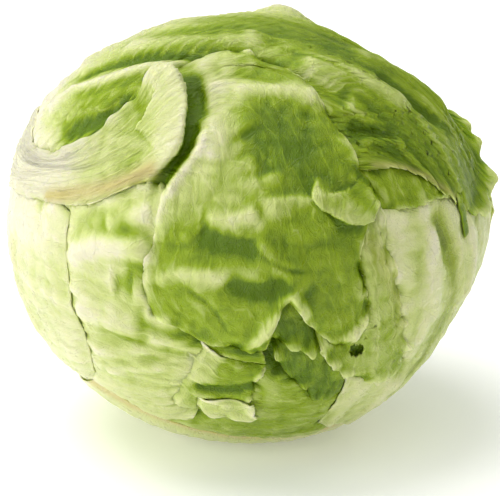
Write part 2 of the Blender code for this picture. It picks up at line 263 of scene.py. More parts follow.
TOP_LEAF = Leaf(
    ribs=(
        ((-115, 14), (-72, 18), (-42, 30), (-5, 42), (20, 32), (36, 29)),
        ((-115, 26), (-74, 33), (-40, 48), (0, 52), (28, 40), (46, 26.5)),
        ((-115, 38), (-76, 46), (-38, 62), (10, 60), (38, 45), (55, 20)),
        ((-120, 50), (-80, 60), (-20, 75), (38, 65), (56, 42), (62, 14)),
        ((-132, 60), (-110, 75), (50, 84), (72, 62), (74, 38), (74, 8)),
        ((-140, 62), (-140, 79), (90, 80), (86, 60), (82, 38), (83, 10)),
        ((-148, 62), (-165, 77), (115, 75), (95, 58), (91, 38), (90, 18)),
        ((-155, 56), (170, 72), (128, 62), (110, 50), (101, 38), (95, 27)),
        ((-163, 46), (168, 56), (144, 50), (128, 43), (116, 38), (107, 34)),
    ),
    cell=0.9, teeth=2.6, wave=1.0, ruffle=0.8, base=0.2, blade=0.85, turn=(0.2, 0.6), pleats=1.0,
    flare=(0.5, 0.5, 0.5, 0.5, 0.6, 1.6, 1.6, 1.6, 1.2),
    frill=(0.6, 0.6, 0.6, 0.8, 1.5, 2.2, 1.8, 1.8, 1.6),
    crumple=0.15,
    folds=(
        (((-68, 28), (-58, 35), (-50, 41), (-42, 48)), -3.0, 4.0, 5.0),
        (((-80, 30), (-74, 40), (-62, 48), (-46, 57), (-20, 62)), 2.4, 3.0, 3.0),
        (((-84, 40), (-66, 54), (-40, 62), (-10, 66)), -1.8, 3.0, 3.0),
        (((-80, 55), (-60, 63), (-20, 71), (20, 71)), 2.2, 5.0, 5.0),
        (((58, 52), (66, 42), (72, 31)), -3.6, 3.2, 3.2),
        (((32, 41), (40, 38), (48, 34)), -2.2, 2.5, 2.5),
        (((34, 37), (42, 35), (50, 32)), 1.4, 2.0, 2.0),
        (((22, 62), (45, 52), (60, 38)), 2.2, 6.0, 5.0),
        (((60, 62), (80, 48), (84, 30)), 2.0, 5.0, 5.0),
        (((66, 8), (76, 8), (86, 12), (92, 21), (96, 32)), 2.8, 5.0, 5.0),
        (((15, 58), (30, 52), (38, 46)), -1.5, 4.0, 4.0),
    ),
    tints=(
        # Painted shade: greener in the hollow above the ridge.
        (((-60, 34), (-53, 39), (-47, 43)), 3.5, 0.12, 0.0),
        (((-110, 30), (-84, 30), (-72, 24)), 15.0, -0.4, 0.0),
        (((-75, 42), (-62, 49), (-46, 58), (-25, 62)), 2.6, -0.3, 0.0),
        (((-84, 40), (-66, 54), (-40, 62)), 2.6, 0.2, 0.0),
        # Painted highlight: paler band over the top of the head.
        (((0, 60), (18, 59), (34, 52)), 3.0, -0.35, 0.0),
        (((-5, 66), (25, 68)), 6.0, -0.15, 0.0),
        # Painted shade: greener in the pit.
        (((60, 50), (66, 42), (72, 31)), 3.6, 0.45, 0.0),
        # Painted shade: greener down the groove.
        (((33, 40), (46, 34)), 4.0, 0.3, 0.0),
        (((36, 30), (46, 27), (55, 21), (63, 14)), 1.2, 0.0, 0.4),
    ),
)

UNDER_LEAF = Leaf(
    ribs=(
        ((-150, -12), (-118, -32), (-82, -40), (-52, -32)),
        ((-150, -26), (-120, -55), (-75, -64), (-32, -45)),
        ((-155, -36), (-150, -74), (-20, -82), (-4, -54)),
        ((-165, -40), (160, -72), (60, -75), (40, -52)),
        ((-175, -34), (145, -52), (105, -55), (78, -40)),
    ),
    cell=1.3, teeth=0.0, wave=0.3, ruffle=0.1, roll=0.0, base=0.02, blade=0.3, lumps=0.0,
    crumple=0.0, pleats=0.2, flare=(-1.0, -1.0),
    tints=((((-56, -32), (-32, -45), (-4, -54), (40, -52)), 3.0, 0.0, 0.9),),
)

SIDE_LEAF = Leaf(
    ribs=(
        ((-140, 16), (-105, 20), (-72, 22), (-50, 15)),
        ((-140, 2), (-104, -2), (-72, -3), (-47, -6)),
        ((-142, -8), (-106, -16), (-74, -19), (-45, -18)),
        ((-144, -16), (-112, -30), (-80, -36), (-50, -30)),
    ),
    wave=0.4, ruffle=0.1, roll=0.8, base=0.10, blade=0.27, pleats=0.7, flare=(-1.2, -1.2),
    tints=(
        (((-75, 0), (-70, -20)), 5.0, 0.1, 0.25),
        (((-110, 8), (-85, 8), (-62, 9)), 16.0, -0.2, 0.0),
    ),
)

BACK_LEAF = Leaf(
    ribs=(
        ((-178, 24), (152, 36), (118, 30), (97, 14)),
        ((-178, 12), (148, 12), (112, 8), (88, 0)),
        ((-178, 0), (146, -12), (112, -14), (87, -14)),
        ((-174, -12), (150, -34), (118, -38), (92, -30)),
    ),
    cell=1.1, teeth=0.8, ruffle=1.2, base=0.05, blade=0.7, pleats=0.7, flare=(3.0, 0.5, 0.0, 0.0),
)

SHOULDER_LEAF = Leaf(
    ribs=(
        ((-125, 45), (-60, 60), (0, 50), (24, 36), (31, 20)),
        ((-135, 58), (-70, 76), (22, 60), (38, 40), (42, 18)),
        ((-150, 62), (170, 82), (75, 68), (62, 42), (57, 17)),
        ((-165, 55), (150, 62), (112, 55), (90, 38), (77, 11)),
    ),
    teeth=0.6, ruffle=1.4, base=0.2, blade=0.85,
)

LOW_FLAP = Leaf(
    ribs=(
        ((-19, -31), (-9, -29), (2, -31)),
        ((-20, -34), (-9, -33), (2, -34)),
        ((-19, -37), (-10, -37), (3, -37)),
    ),
    cell=0.6, teeth=0.5, wave=0.8, base=0.55, blade=0.55, flap=True, lumps=0.8, crumple=0.3, ruffle=1.6,
    frill=(1.0, 0.6),
)

CHEEK_FLAP = Leaf(
    ribs=(
        ((-14, -9), (-6, -15), (4, -17.5)),
        ((-16, -14), (-7, -20), (1, -22)),
        ((-19, -19), (-10, -26), (1, -29)),
        ((-22, -25), (-15, -31), (-6, -35)),
        ((-25, -31), (-21, -36), (-16, -38)),
    ),
    cell=0.7, teeth=1.2, wave=1.0, base=0.5, blade=0.85, flap=True, lumps=0.8, crumple=0.4, ruffle=1.6,
    frill=(1.0, 1.0),
    folds=(
        (((-13, -9), (-17, -18), (-24, -30)), 1.8, 2.0, 2.0),
        (((-16, -26), (-8, -26), (0, -26)), -2.0, 2.5, 2.5),
    ),
    # Painted shade: greener down the groove across the flap.
    tints=((((-16, -25), (-8, -25), (-1, -25)), 3.0, 0.25, 0.0),),
)

CHEEK_LEAF = Leaf(
    ribs=(
        ((-136, 26), (-100, 30), (-52, 31), (-24, 30), (-10, 18)),
        ((-138, 10), (-100, 10), (-48, 6), (-2, -4)),
        ((-138, -2), (-100, -6), (-45, -10), (4, -17)),
        ((-140, -12), (-102, -20), (-46, -22), (0, -25)),
        ((-142, -22), (-108, -34), (-52, -35), (-13, -33)),
        ((-146, -32), (-115, -45), (-60, -46), (-20, -42)),
    ),
    cell=0.85, teeth=0.5, ruffle=0.8, base=0.2, blade=0.52, turn=(0.5, 1.0), pleats=1.0, crumple=0.3,
    folds=(
        (((-48, 5), (-40, 9), (-30, 11), (-24, 12)), 3.0, 4.0, 4.0),
        (((-46, -6), (-36, -7), (-26, -8)), 2.0, 4.0, 5.0),
        (((-34, 2), (-28, 2)), -1.6, 4.0, 4.0),
        (((-44, -18), (-34, -16), (-20, -12)), 1.4, 3.0, 3.0),
        (((-42, -24), (-32, -21), (-20, -19)), 1.2, 2.0, 2.0),
        (((-27, -3), (-19, -6), (-12, -9)), 1.3, 2.0, 3.0),
        (((-26, -11), (-18, -11), (-12, -9)), 1.0, 1.6, 1.6),
        (((-38, 15), (-31, 18), (-25, 20)), 1.6, 4.0, 4.0),
    ),
    tints=(
        (((-33, 17), (-28, 13), (-27, 6)), 5.0, 0.35, 0.0),
        (((-29, 3), (-27, -6)), 4.0, 0.2, 0.0),
        # Painted shadow: greener where the front leaf's margin shades the strip.
        (((-17, -9), (-6, -12), (4, -15)), 4.0, 0.5, 0.0),
        (((-45, 14), (-32, 17)), 5.0, 0.2, 0.0),
    ),
)

COLLAR_LEAF = Leaf(
    ribs=(
        ((-128, 48), (-66, 62), (0, 38), (12, 8), (17, -13)),
        ((-134, 56), (-70, 74), (14, 42), (23, 8), (24, -21)),
        ((-142, 60), (-110, 84), (26, 44), (30, 10), (34, -25)),
        ((-150, 62), (120, 84), (34, 44), (36, 6), (47, -27)),
    ),
    cell=0.8, teeth=1.8, wave=1.6, ruffle=1.6, base=0.35, blade=0.74, frill=(1.5, 1.5),
    holes=(((27, -14.5), 2.6),),
    tints=((((30, 12), (36, 2), (42, -12)), 4.0, 0.0, 0.2),),
)

RIGHT_LEAF = Leaf(
    ribs=(
        ((-150, 60), (60, 78), (28, 40), (26, 0), (26, -46)),
        ((-158, 60), (90, 76), (58, 40), (56, 0), (56, -52)),
        ((-165, 56), (125, 66), (84, 38), (76, -2), (76, -50)),
        ((-172, 48), (142, 52), (108, 32), (98, -6), (96, -44)),
        ((-177, 34), (152, 34), (128, 14), (118, -10), (116, -34)),
    ),
    ruffle=0.4, base=0.52, blade=0.46, pleats=1.0,
    folds=(
        (((48, 18), (54, 8), (58, -6), (58, -22)), -1.6, 4.0, 4.0),
        (((60, 18), (66, 4), (66, -14)), 1.6, 4.0, 4.0),
        (((24, -12), (27, -14.5), (30, -17)), -1.2, 4.0, 4.0),
    ),
    tints=(
        # Partly painted shade: greener down the groove beside it; the tan is the leaf's own colour.
        (((52, 14), (56, 4), (58, -8), (54, -30)), 4.0, 0.25, 0.15),
        # Painted shade: greener in the pit under the collar's hole.
        (((24, -12), (27, -14.5), (30, -17)), 3.5, 0.5, 0.0),
    ),
)

# The margins of the two tips that show in the notch.
FRILLY = dict(
    cell=0.8, teeth=1.0, wave=2.6, ruffle=2.4, base=0.4, blade=1.0, crumple=0.5, frill=(2.4, 2.4)
)

LIP_LEAF = Leaf(
    ribs=(
        ((-120, 30), (-60, 40), (-14, 24), (2, -9)),
        ((-124, 42), (-56, 56), (2, 28), (14, -14)),
        ((-132, 52), (-40, 72), (20, 30), (25, -10)),
    ),
    **FRILLY,
)

TONGUE_LEAF = Leaf(
    ribs=(
        ((-126, 38), (-70, 50), (-4, 22), (8, -19)),
        ((-134, 50), (-60, 70), (16, 22), (17, -28)),
        ((-144, 56), (-60, 84), (34, 24), (27, -31)),
        ((-154, 58), (110, 80), (50, 22), (37, -26)),
    ),
    **FRILLY,
)

CHIN_LEAF = Leaf(
    ribs=(
        ((-136, 8), (-96, 8), (-40, 2), (12, -12)),
        ((-138, -6), (-98, -12), (-40, -18), (24, -24)),
        ((-142, -20), (-106, -32), (-44, -36), (34, -36)),
        ((-148, -32), (-118, -52), (-50, -54), (38, -50)),
    ),
    cell=0.9, teeth=1.4, wave=1.0, ruffle=0.8, base=0.1, blade=0.76, pleats=0.5, frill=(1.0, 1.0),
    folds=((((1, -13), (6, -16), (10, -20)), -5.0, 4.0, 4.0),),
    # Painted shade: greener in the pit beside the notch.
    tints=((((1, -13), (6, -16), (10, -20)), 5.0, 0.5, 0.0),),
)

# Each leaf's sheets, outermost first: flaps that lie over it, and then the leaf itself.
OUTER_LEAVES = {
    "front_leaf": (FRONT_LEAF,),
    "top_leaf": (HANGING_STRIP, TOP_LEAF),
    "under_leaf": (UNDER_LEAF,),
    "side_leaf": (SIDE_LEAF,),
    "back_leaf": (BACK_LEAF,),
    "shoulder_leaf": (SHOULDER_LEAF,),
    "cheek_leaf": (LOW_FLAP, CHEEK_FLAP, CHEEK_LEAF),
    "collar_leaf": (COLLAR_LEAF,),
    "right_leaf": (RIGHT_LEAF,),
    "lip_leaf": (LIP_LEAF,),
    "tongue_leaf": (TONGUE_LEAF,),
    "chin_leaf": (CHIN_LEAF,),
}
# Hidden leaves: each is turned by the same angle about the stem from the one outside it.
INNER_LEAF_COUNT = 7
INNER_TURN = 137.5
INNER_HALF_FAN = 78.0
INNER_RIBS = 5
INNER_REACH = (60.0, 110.0, 150.0)
INNER_CELL = 2.0

# The heart bud, with how far its smooth middle and its folds are from its outside.
HEART_RADIUS = 0.0255
HEART_MARGIN = 0.0012
HEART_FOLD = 0.0009

# Where each colour is on the way from the blanched base to the deepest green.
COLOUR_STOPS = (("blanched", 0.0), ("cream", 0.16), ("pale", 0.42), ("green", 0.72), ("deep", 1.0))
MOTTLE_GREEN = 0.22
RIM_PALING = 0.20
VEIN_PALING = 0.09

# The stage: half the floor's side, where the lights point, how far under the head's centre the
# camera looks, and the sky's share of the fill light at the horizon and overhead.
FLOOR_HALF = 3.0
LIGHT_AIM = Vector((0.0, 0.0, 0.07))
CAMERA_DROP = 0.0089
SKY_SHARES = (0.2, 1.6)


class LettuceLeafSettings(bpy.types.PropertyGroup):
    """Sizes shared by the leaves."""

    thickness: FloatProperty(
        name="Thickness", description="Thickness of the leaf blade", default=0.0005, unit="LENGTH"
    )
    gap: FloatProperty(
        name="Gap", description="From one leaf's outer face to the next one's", default=0.0012,
        unit="LENGTH",
    )
    inner_gap: FloatProperty(
        name="Inner Gap", description="The same among the hidden leaves", default=0.0030, unit="LENGTH"
    )
    rib_height: FloatProperty(
        name="Rib Height", description="How far the ribs stand out", default=0.0004, unit="LENGTH"
    )
    blister_height: FloatProperty(
        name="Blister Height", description="How far the blade swells between veins", default=0.0004,
        unit="LENGTH",
    )
    seed: IntProperty(name="Seed", description="Picks the pattern of lumps and teeth", default=4)


class LettuceColourSettings(bpy.types.PropertyGroup):
    """Colours of the leaves, from the blanched base to the sunlit tip."""

    blanched: FloatVectorProperty(
        name="Blanched", description="Leaf bases", subtype="COLOR", default=(0.87, 0.86, 0.54)
    )
    cream: FloatVectorProperty(
        name="Cream", description="Pale blades and ribs", subtype="COLOR", default=(0.80, 0.84, 0.42)
    )
    pale: FloatVectorProperty(
        name="Pale", description="Pale yellow-green", subtype="COLOR", default=(0.62, 0.72, 0.24)
    )
    green: FloatVectorProperty(
        name="Green", description="Leaf green", subtype="COLOR", default=(0.275, 0.395, 0.010)
    )
    deep: FloatVectorProperty(
        name="Deep", description="Deepest green", subtype="COLOR", default=(0.105, 0.19, 0.0)
    )
    tan: FloatVectorProperty(
        name="Tan", description="Bruised margins", subtype="COLOR", default=(0.66, 0.58, 0.22)
    )


class LettuceStageSettings(bpy.types.PropertyGroup):
    """The camera, the lights and the floor."""

    elevation: FloatProperty(
        name="Elevation", description="Camera angle above the horizon", default=math.radians(20.0),
        subtype="ANGLE", unit="ROTATION",
    )
    distance: FloatProperty(
        name="Distance", description="From the camera to the head", default=0.95, unit="LENGTH"
    )
    view_width: FloatProperty(
        name="View Width", description="Width seen at the head", default=0.1775, unit="LENGTH"
    )
    key_strength: FloatProperty(
        name="Key Strength", description="Wide soft light from the upper left", default=1.6
    )
    side_power: FloatProperty(
        name="Side Power", description="Soft light low on the left", default=4.6, unit="POWER"
    )
    fill_strength: FloatProperty(
        name="Fill Strength", description="Soft light from overhead", default=0.55
    )


def unit(vectors):
    """The vectors at length 1."""
    return vectors / np.linalg.norm(vectors, axis=-1, keepdims=True)


STEM = np.array(STEM_AXIS)
UPWARD = unit(np.array((0.0, 0.0, 1.0)) - STEM[2] * STEM)
RIGHTWARD = np.cross(STEM, UPWARD)


def compass_direction(compass, elevation):
    """The direction at an angle from the front (+ to the right), and above the horizon."""
    turn, rise = math.radians(compass), math.radians(elevation)
    return np.array(
        (math.sin(turn) * math.cos(rise), -math.cos(turn) * math.cos(rise), math.sin(rise))
    )


def stem_direction(azimuth, reach):
    """The direction `reach` degrees from the stem, at an angle round it (0 up, 90 right)."""
    turn, away = math.radians(azimuth), math.radians(reach)
    side = math.cos(turn) * UPWARD + math.sin(turn) * RIGHTWARD
    return math.cos(away) * STEM + math.sin(away) * side


def head_radius(directions):
    """Distance from the head's centre to its smooth outside."""
    semi_axes = np.array((HALF_WIDTH, HALF_DEPTH, HALF_HEIGHT))
    radius = 1.0 / np.linalg.norm(directions / semi_axes, axis=-1)
    swellings = [(compass_direction(turn, rise), size, height) for turn, rise, size, height in SWELLINGS]
    swellings.append((STEM, *STEM_HOLLOW))
    for middle, size, height in swellings:
        angle = np.degrees(np.arccos(np.clip(directions @ middle, -1.0, 1.0)))
        radius = radius + height * np.exp(-((angle / size) ** 2))
    return radius


def pressed(radius, directions):
    """The radius where the floor presses the head flat."""
    floor = (HEAD_PLACE.z - FLOOR_CLEARANCE) / np.maximum(-directions[..., 2], 1e-3)
    soft = np.maximum(PRESS_EDGE - np.abs(radius - floor), 0.0)
    return np.minimum(radius, floor) - np.where(radius < floor, soft * soft / (4 * PRESS_EDGE), 0.0)


def ramp(value, start, end):
    """0 at start, 1 at end, and smooth between them."""
    share = np.clip((value - start) / (end - start), 0.0, 1.0)
    return share * share * (3.0 - 2.0 * share)


def ripple(points, size, seed):
    """Smooth noise from -1 to 1 whose lumps are about `size` across."""
    lattice = np.random.RandomState(seed).uniform(-1.0, 1.0, (16, 16, 16))
    scaled = points / size + 100.0
    corner = np.floor(scaled).astype(int)
    share = scaled - corner
    share = share * share * (3.0 - 2.0 * share)
    total = np.zeros(points.shape[:-1])
    for offset in np.ndindex(2, 2, 2):
        weight = np.prod(np.where(offset, share, 1.0 - share), axis=-1)
        x, y, z = np.moveaxis((corner + offset) % 16, -1, 0)
        total += weight * lattice[x, y, z]
    return total


def waved(points, waves, seed, form=np.positive):
    """The sum of some waves of noise, each brought to a form first."""
    return sum(height * form(ripple(points, size, seed + step)) for height, size, step in waves)


def spline_weights(t):
    """Weights of the four knots round a share of the way from the second to the third."""
    return np.stack((
        -0.5 * t + t**2 - 0.5 * t**3,
        1.0 - 2.5 * t**2 + 1.5 * t**3,
        0.5 * t + 2.0 * t**2 - 1.5 * t**3,
        -0.5 * t**2 + 0.5 * t**3,
    ))


def extended(knots):
    """The knots with one more at each end, straight on."""
    return np.concatenate((2 * knots[:1] - knots[1:2], knots, 2 * knots[-1:] - knots[-2:-1]))


def spline(knots, positions):
    """Points at the given knot positions on the smooth curve through the knots (first axis)."""
    padded = extended(knots)
    start = np.clip(np.floor(positions).astype(int), 0, len(knots) - 2)
    weights = spline_weights(positions - start)
    return sum(weights[i][..., None] * padded[start + i] for i in range(4))


def net_points(net, across, along):
    """Points on the smooth surface through a net of knots, at knot positions on both axes."""
    padded = np.swapaxes(extended(np.swapaxes(extended(net), 0, 1)), 0, 1)
    column = np.clip(np.floor(across).astype(int), 0, net.shape[0] - 2)
    row = np.clip(np.floor(along).astype(int), 0, net.shape[1] - 2)
    wide = spline_weights(across - column)
    long = spline_weights(along - row)
    total = 0.0
    for i in range(4):
        for j in range(4):
            total = total + (wide[i] * long[j])[..., None] * padded[column + i, row + j]
    return total


def rib_net(ribs, flap, knots=30, fine=200):
    """The ribs as evenly spaced directions from the stem, or a flap's root, to the margin."""
    start_angle = math.asin((STEM_CUT_RADIUS + STEM_LEAF_GAP) / STEM_CUT_REACH)
    net = []
    for rib in ribs:
        first = compass_direction(*rib[0])
        away = unit(first - (first @ STEM) * STEM)
        start = STEM * math.cos(start_angle) + away * math.sin(start_angle)
        places = np.array(([] if flap else [start]) + [compass_direction(*place) for place in rib])
        curve = spline(places, np.linspace(0.0, len(places) - 1.0, fine))
        length = np.concatenate(([0.0], np.cumsum(np.linalg.norm(np.diff(curve, axis=0), axis=-1))))
        even = np.interp(np.linspace(0.0, length[-1], knots), length, np.arange(float(fine)))
        net.append(spline(curve, even))
    return np.array(net)


def beside_line(points, places):
    """How far each point is from the curve over the head through the places, how far to its
    right, the way to the right there, and how far along the curve it is, from 0 to 1."""
    knots = np.array([compass_direction(*place) for place in places])
    curve = unit(spline(knots, np.linspace(0.0, len(knots) - 1.0, 4 * len(knots) - 3)))
    curve = curve * head_radius(curve)[..., None]
    away = np.full(points.shape[:-1], np.inf)
    right = np.zeros(away.shape)
    along = np.zeros(away.shape)
    rightward = np.zeros(points.shape)
    for number, (a, b) in enumerate(zip(curve, curve[1:])):
        span = b - a
        to_right = unit(np.cross(span, a))
        share = np.clip(((points - a) @ span) / (span @ span), 0.0, 1.0)
        offset = points - a - share[..., None] * span
        length = np.linalg.norm(offset, axis=-1)
        nearer = length < away
        away[nearer] = length[nearer]
        right[nearer] = (offset @ to_right)[nearer]
        along[nearer] = (number + share[nearer]) / (len(curve) - 1)
        rightward[nearer] = to_right
    return away, right, rightward, along


def folded(points, fold):
    """How far a fold raises each point, and how far its steep side hangs over."""
    places, height, left, right_width = fold
    away, right, rightward, along = beside_line(points, places)
    taper = ramp(along, 0.0, FOLD_FADE) * ramp(1.0 - along, 0.0, FOLD_FADE)
    width = np.where(right < 0.0, left, right_width) * MM
    raised = height * MM * taper * np.exp(-((away / width) ** 2))
    steep = min(left, right_width) * MM
    if steep > STEEP_SIDE or height < 0.0:
        return raised, 0.0
    side = 1.0 if right_width < left else -1.0
    beyond = right * side - steep
    lap = OVERHANG * height * MM * taper * np.exp(-((beyond / OVERHANG_REACH) ** 2))
    return raised, (-side * lap * np.tanh(beyond / OVERHANG_EDGE))[..., None] * rightward


def beside_sum(grid):
    """The sum of the four values beside each value of a grid."""
    padded = np.pad(grid, 1, mode="edge")
    return padded[:-2, 1:-1] + padded[2:, 1:-1] + padded[1:-1, :-2] + padded[1:-1, 2:]


def smoothed(grid, rounds):
    """The grid with each value drawn halfway to those beside it, some rounds over."""
    for _ in range(rounds):
        grid = 0.5 * grid + 0.125 * beside_sum(grid)
    return grid


def settled(depth, stiffness=0.82, rounds=30):
    """The depth of a leaf that is pushed down at least this deep and springs back beyond."""
    lying = depth.copy()
    for _ in range(rounds):
        around = beside_sum(lying) / 4
        lying = np.maximum(depth, stiffness * around)
    return lying


def resized(grid, shape):
    """The grid stretched to another shape, linearly."""
    rows = np.linspace(0, grid.shape[0] - 1, shape[0])
    columns = np.linspace(0, grid.shape[1] - 1, shape[1])
    r = np.clip(rows.astype(int), 0, grid.shape[0] - 2)
    c = np.clip(columns.astype(int), 0, grid.shape[1] - 2)
    fr, fc = (rows - r)[:, None], (columns - c)[None, :]
    top = grid[r][:, c] * (1 - fc) + grid[r][:, c + 1] * fc
    bottom = grid[r + 1][:, c] * (1 - fc) + grid[r + 1][:, c + 1] * fc
    return top * (1 - fr) + bottom * fr


class Covering:
    """The leaves made so far, as seen from the head's centre."""

    def __init__(self):
        self.points = []
        self.faces = []
        self.tree = None

    def add(self, sheet, step=2):
        """Take in a leaf's grid of points, as quads between every few of them."""
        coarse = sheet[::step, ::step]
        rows, columns = coarse.shape[:2]
        first = len(self.points)
        self.points.extend(coarse.reshape(-1, 3).tolist())
        for row in range(rows - 1):
            for column in range(columns - 1):
                a = first + row * columns + column
                self.faces.append((a, a + 1, a + columns + 1, a + columns))
        self.tree = BVHTree.FromPolygons(self.points, self.faces)

    def distance(self, directions):
        """How far the innermost leaf is in each direction; infinite where there is none."""
        found = np.full(directions.shape[:-1], np.inf)
        if self.tree:
            for place in np.ndindex(found.shape):
                hit = self.tree.ray_cast(Vector(), Vector(directions[place]))[3]
                if hit is not None:
                    found[place] = hit
        return found


COVERING = Covering()
SHEET_VALUES = ("green", "tan", "margin", "base", "open")


def run_lengths(points):
    """Lengths along the first axis from the start, with the total for each line."""
    steps = np.linalg.norm(np.diff(points, axis=0), axis=-1)
    return np.concatenate((np.zeros((1, points.shape[1])), np.cumsum(steps, axis=0)))


def graded(count, finer):
    """Shares from 0 to 1 whose steps shrink to 1 / finer of the first."""
    steps = np.linspace(1.0, 1.0 / finer, count)
    return np.concatenate(([0.0], np.cumsum(steps))) / steps.sum()


def margin_line(line, phase, leaf, seed):
    """How far the margin stands out along its length: waves, and teeth with rounded tops."""
    points = np.stack((line, np.full_like(line, phase), np.zeros_like(line)), axis=-1)
    place = line / TOOTH_LENGTH + 0.8 * ripple(points, 0.010, seed + 2)
    tooth = np.abs(np.sin(place * math.pi)) ** 0.6 - 0.6
    return (leaf.wave * waved(points, MARGIN_WAVES, seed) + leaf.teeth * tooth) * MM


def sheet_directions(leaf, seed):
    """The grid of directions from the head's centre to a leaf's points, out to its waved
    margins, each point's share of the way across, and the leaf's length and width."""
    net = rib_net(leaf.ribs, leaf.flap)
    length = run_lengths(np.swapaxes(net, 0, 1) * HALF_DEPTH)[-1].max()
    width = run_lengths(net * HALF_DEPTH)[-1].max()
    finer = 1.0 if leaf.flap else TIP_FINENESS
    rows = int(length / (leaf.cell * MM) * (1.0 + 1.0 / finer) / 2.0) + 2
    columns = int(width / (leaf.cell * MM)) + 2
    share_along = graded(rows, finer)[:, None] * np.ones(columns + 1)
    share_across = np.ones(rows + 1)[:, None] * np.linspace(0.0, 1.0, columns + 1)

    tip = margin_line(share_across[0] * width, 0.013, leaf, seed) / length
    low = margin_line(share_along[:, 0] * length, 0.031, leaf, seed) / width
    high = margin_line(share_along[:, 0] * length, 0.047, leaf, seed) / width
    fade = ramp(share_along, 0.1, 0.3)
    start = -low[:, None] * fade
    end = 1.0 + high[:, None] * fade
    across = start + share_across * (end - start)
    along = share_along * (1.0 + tip)
    directions = unit(net_points(net, across * (len(leaf.ribs) - 1), along * (net.shape[1] - 1)))
    return directions, share_across, length, width


def with_blade(leaf, radius, points, leaf_map, seed):
    """The radius with the blade's lumps, creases, pleats and folds, and how far those hang over."""
    radius = radius + leaf.lumps * MM * waved(points, LUMP_WAVES, 0)
    creases = waved(points, CREASE_WAVES, seed, np.abs) - CREASE_LEVEL
    radius = radius + leaf.crumple * MM * creases * CREASE_GAIN
    radius = radius + leaf.pleats * MM * waved(leaf_map, PLEAT_WAVES, seed)
    lap = np.zeros(points.shape)
    for fold in leaf.folds:
        raised, over = folded(points, fold)
        radius = radius + raised
        lap = lap + over
    return radius, lap


def with_margin(leaf, radius, points, share_across, to_tip, to_side, seed):
    """The radius with the margin's ruffles, rolled sides, frill and flared tip."""
    to_margin = np.minimum(to_tip, to_side)
    frill, flare = (
        np.interp(share_across, np.linspace(0.0, 1.0, len(values)), values)
        for values in (leaf.frill, leaf.flare)
    )
    edge = np.exp(-to_margin / RUFFLE_REACH)
    radius = radius + leaf.ruffle * MM * edge * waved(points, RUFFLE_WAVES, seed)
    radius = radius - leaf.roll * MM * np.exp(-((to_side / ROLL_REACH) ** 2))
    lift = frill * MM * np.exp(-to_margin / FRILL_REACH)
    radius = radius + lift * FRILL_GAIN * ripple(points, FRILL_SIZE, seed + 8)
    return radius + flare * MM * np.exp(-((to_tip / FLARE_REACH) ** 2))


def draped(radius, directions, gap):
    """The radius of a leaf laid under the leaves made so far, and how far those are."""
    hit = COVERING.distance(directions[::DRAPE_STEP, ::DRAPE_STEP])
    too_far = radius[::DRAPE_STEP, ::DRAPE_STEP] - hit + gap
    depth = settled(np.maximum(np.where(np.isfinite(hit), too_far, 0.0), 0.0))
    radius = radius - smoothed(resized(depth, radius.shape), 4)
    above = COVERING.distance(directions)
    return np.minimum(radius, above - gap), above


def pierced(sheet, kept, place, size):
    """The sheet with a round hole: its points beside the rim lie on it, the cells inside go."""
    middle = compass_direction(*place)
    along = sheet @ middle
    offset = sheet - along[..., None] * middle
    away = np.linalg.norm(offset, axis=-1)
    near = (np.abs(away - size) < RIM_SNAP) & (along > 0.0)
    moved = sheet + offset * ((size / away - 1.0) * near)[..., None]
    away = np.where(near, size, away)
    centre = (away[:-1, :-1] + away[1:, :-1] + away[:-1, 1:] + away[1:, 1:]) / 4
    return moved, kept & ((centre > size) | (along[:-1, :-1] < 0.0))


def leaf_colour(leaf, points, radius, reached, seed):
    """How green and how tan the leaf is: greener towards its tip, with painted shade (greener) in
    hollows and grooves and a painted highlight (paler) on ridges.
    """
    hollow = resized(smoothed(radius[::4, ::4], 12), radius.shape) - radius
    groove = smoothed(radius, 8) - radius
    green = leaf.base + (leaf.blade - leaf.base) * ramp(reached, *leaf.turn)
    green = green + PATCH_GREEN * ripple(points, PATCH_SIZE, seed + 7)
    # Painted shade and painted highlight: greener in hollows and grooves, paler on ridges and bumps.
    green = green + np.clip(hollow / HOLLOW_DEPTH, -0.8, 1.0) * HOLLOW_SHADE_AND_HIGHLIGHT
    green = green + np.clip(groove / GROOVE_DEPTH, -1.0, 1.0) * GROOVE_SHADE_AND_HIGHLIGHT
    tan = np.zeros_like(green)
    # Tints: the leaf's own colour, besides the painted shade and painted highlights noted in the leaf
    # tables.
    for places, size, more_green, more_tan in leaf.tints:
        near = np.exp(-((beside_line(points, places)[0] / (size * MM)) ** 2))
        green = green + more_green * near
        tan = tan + more_tan * near
    return np.clip(green, 0.0, 1.2), np.clip(tan, 0.0, 1.0)


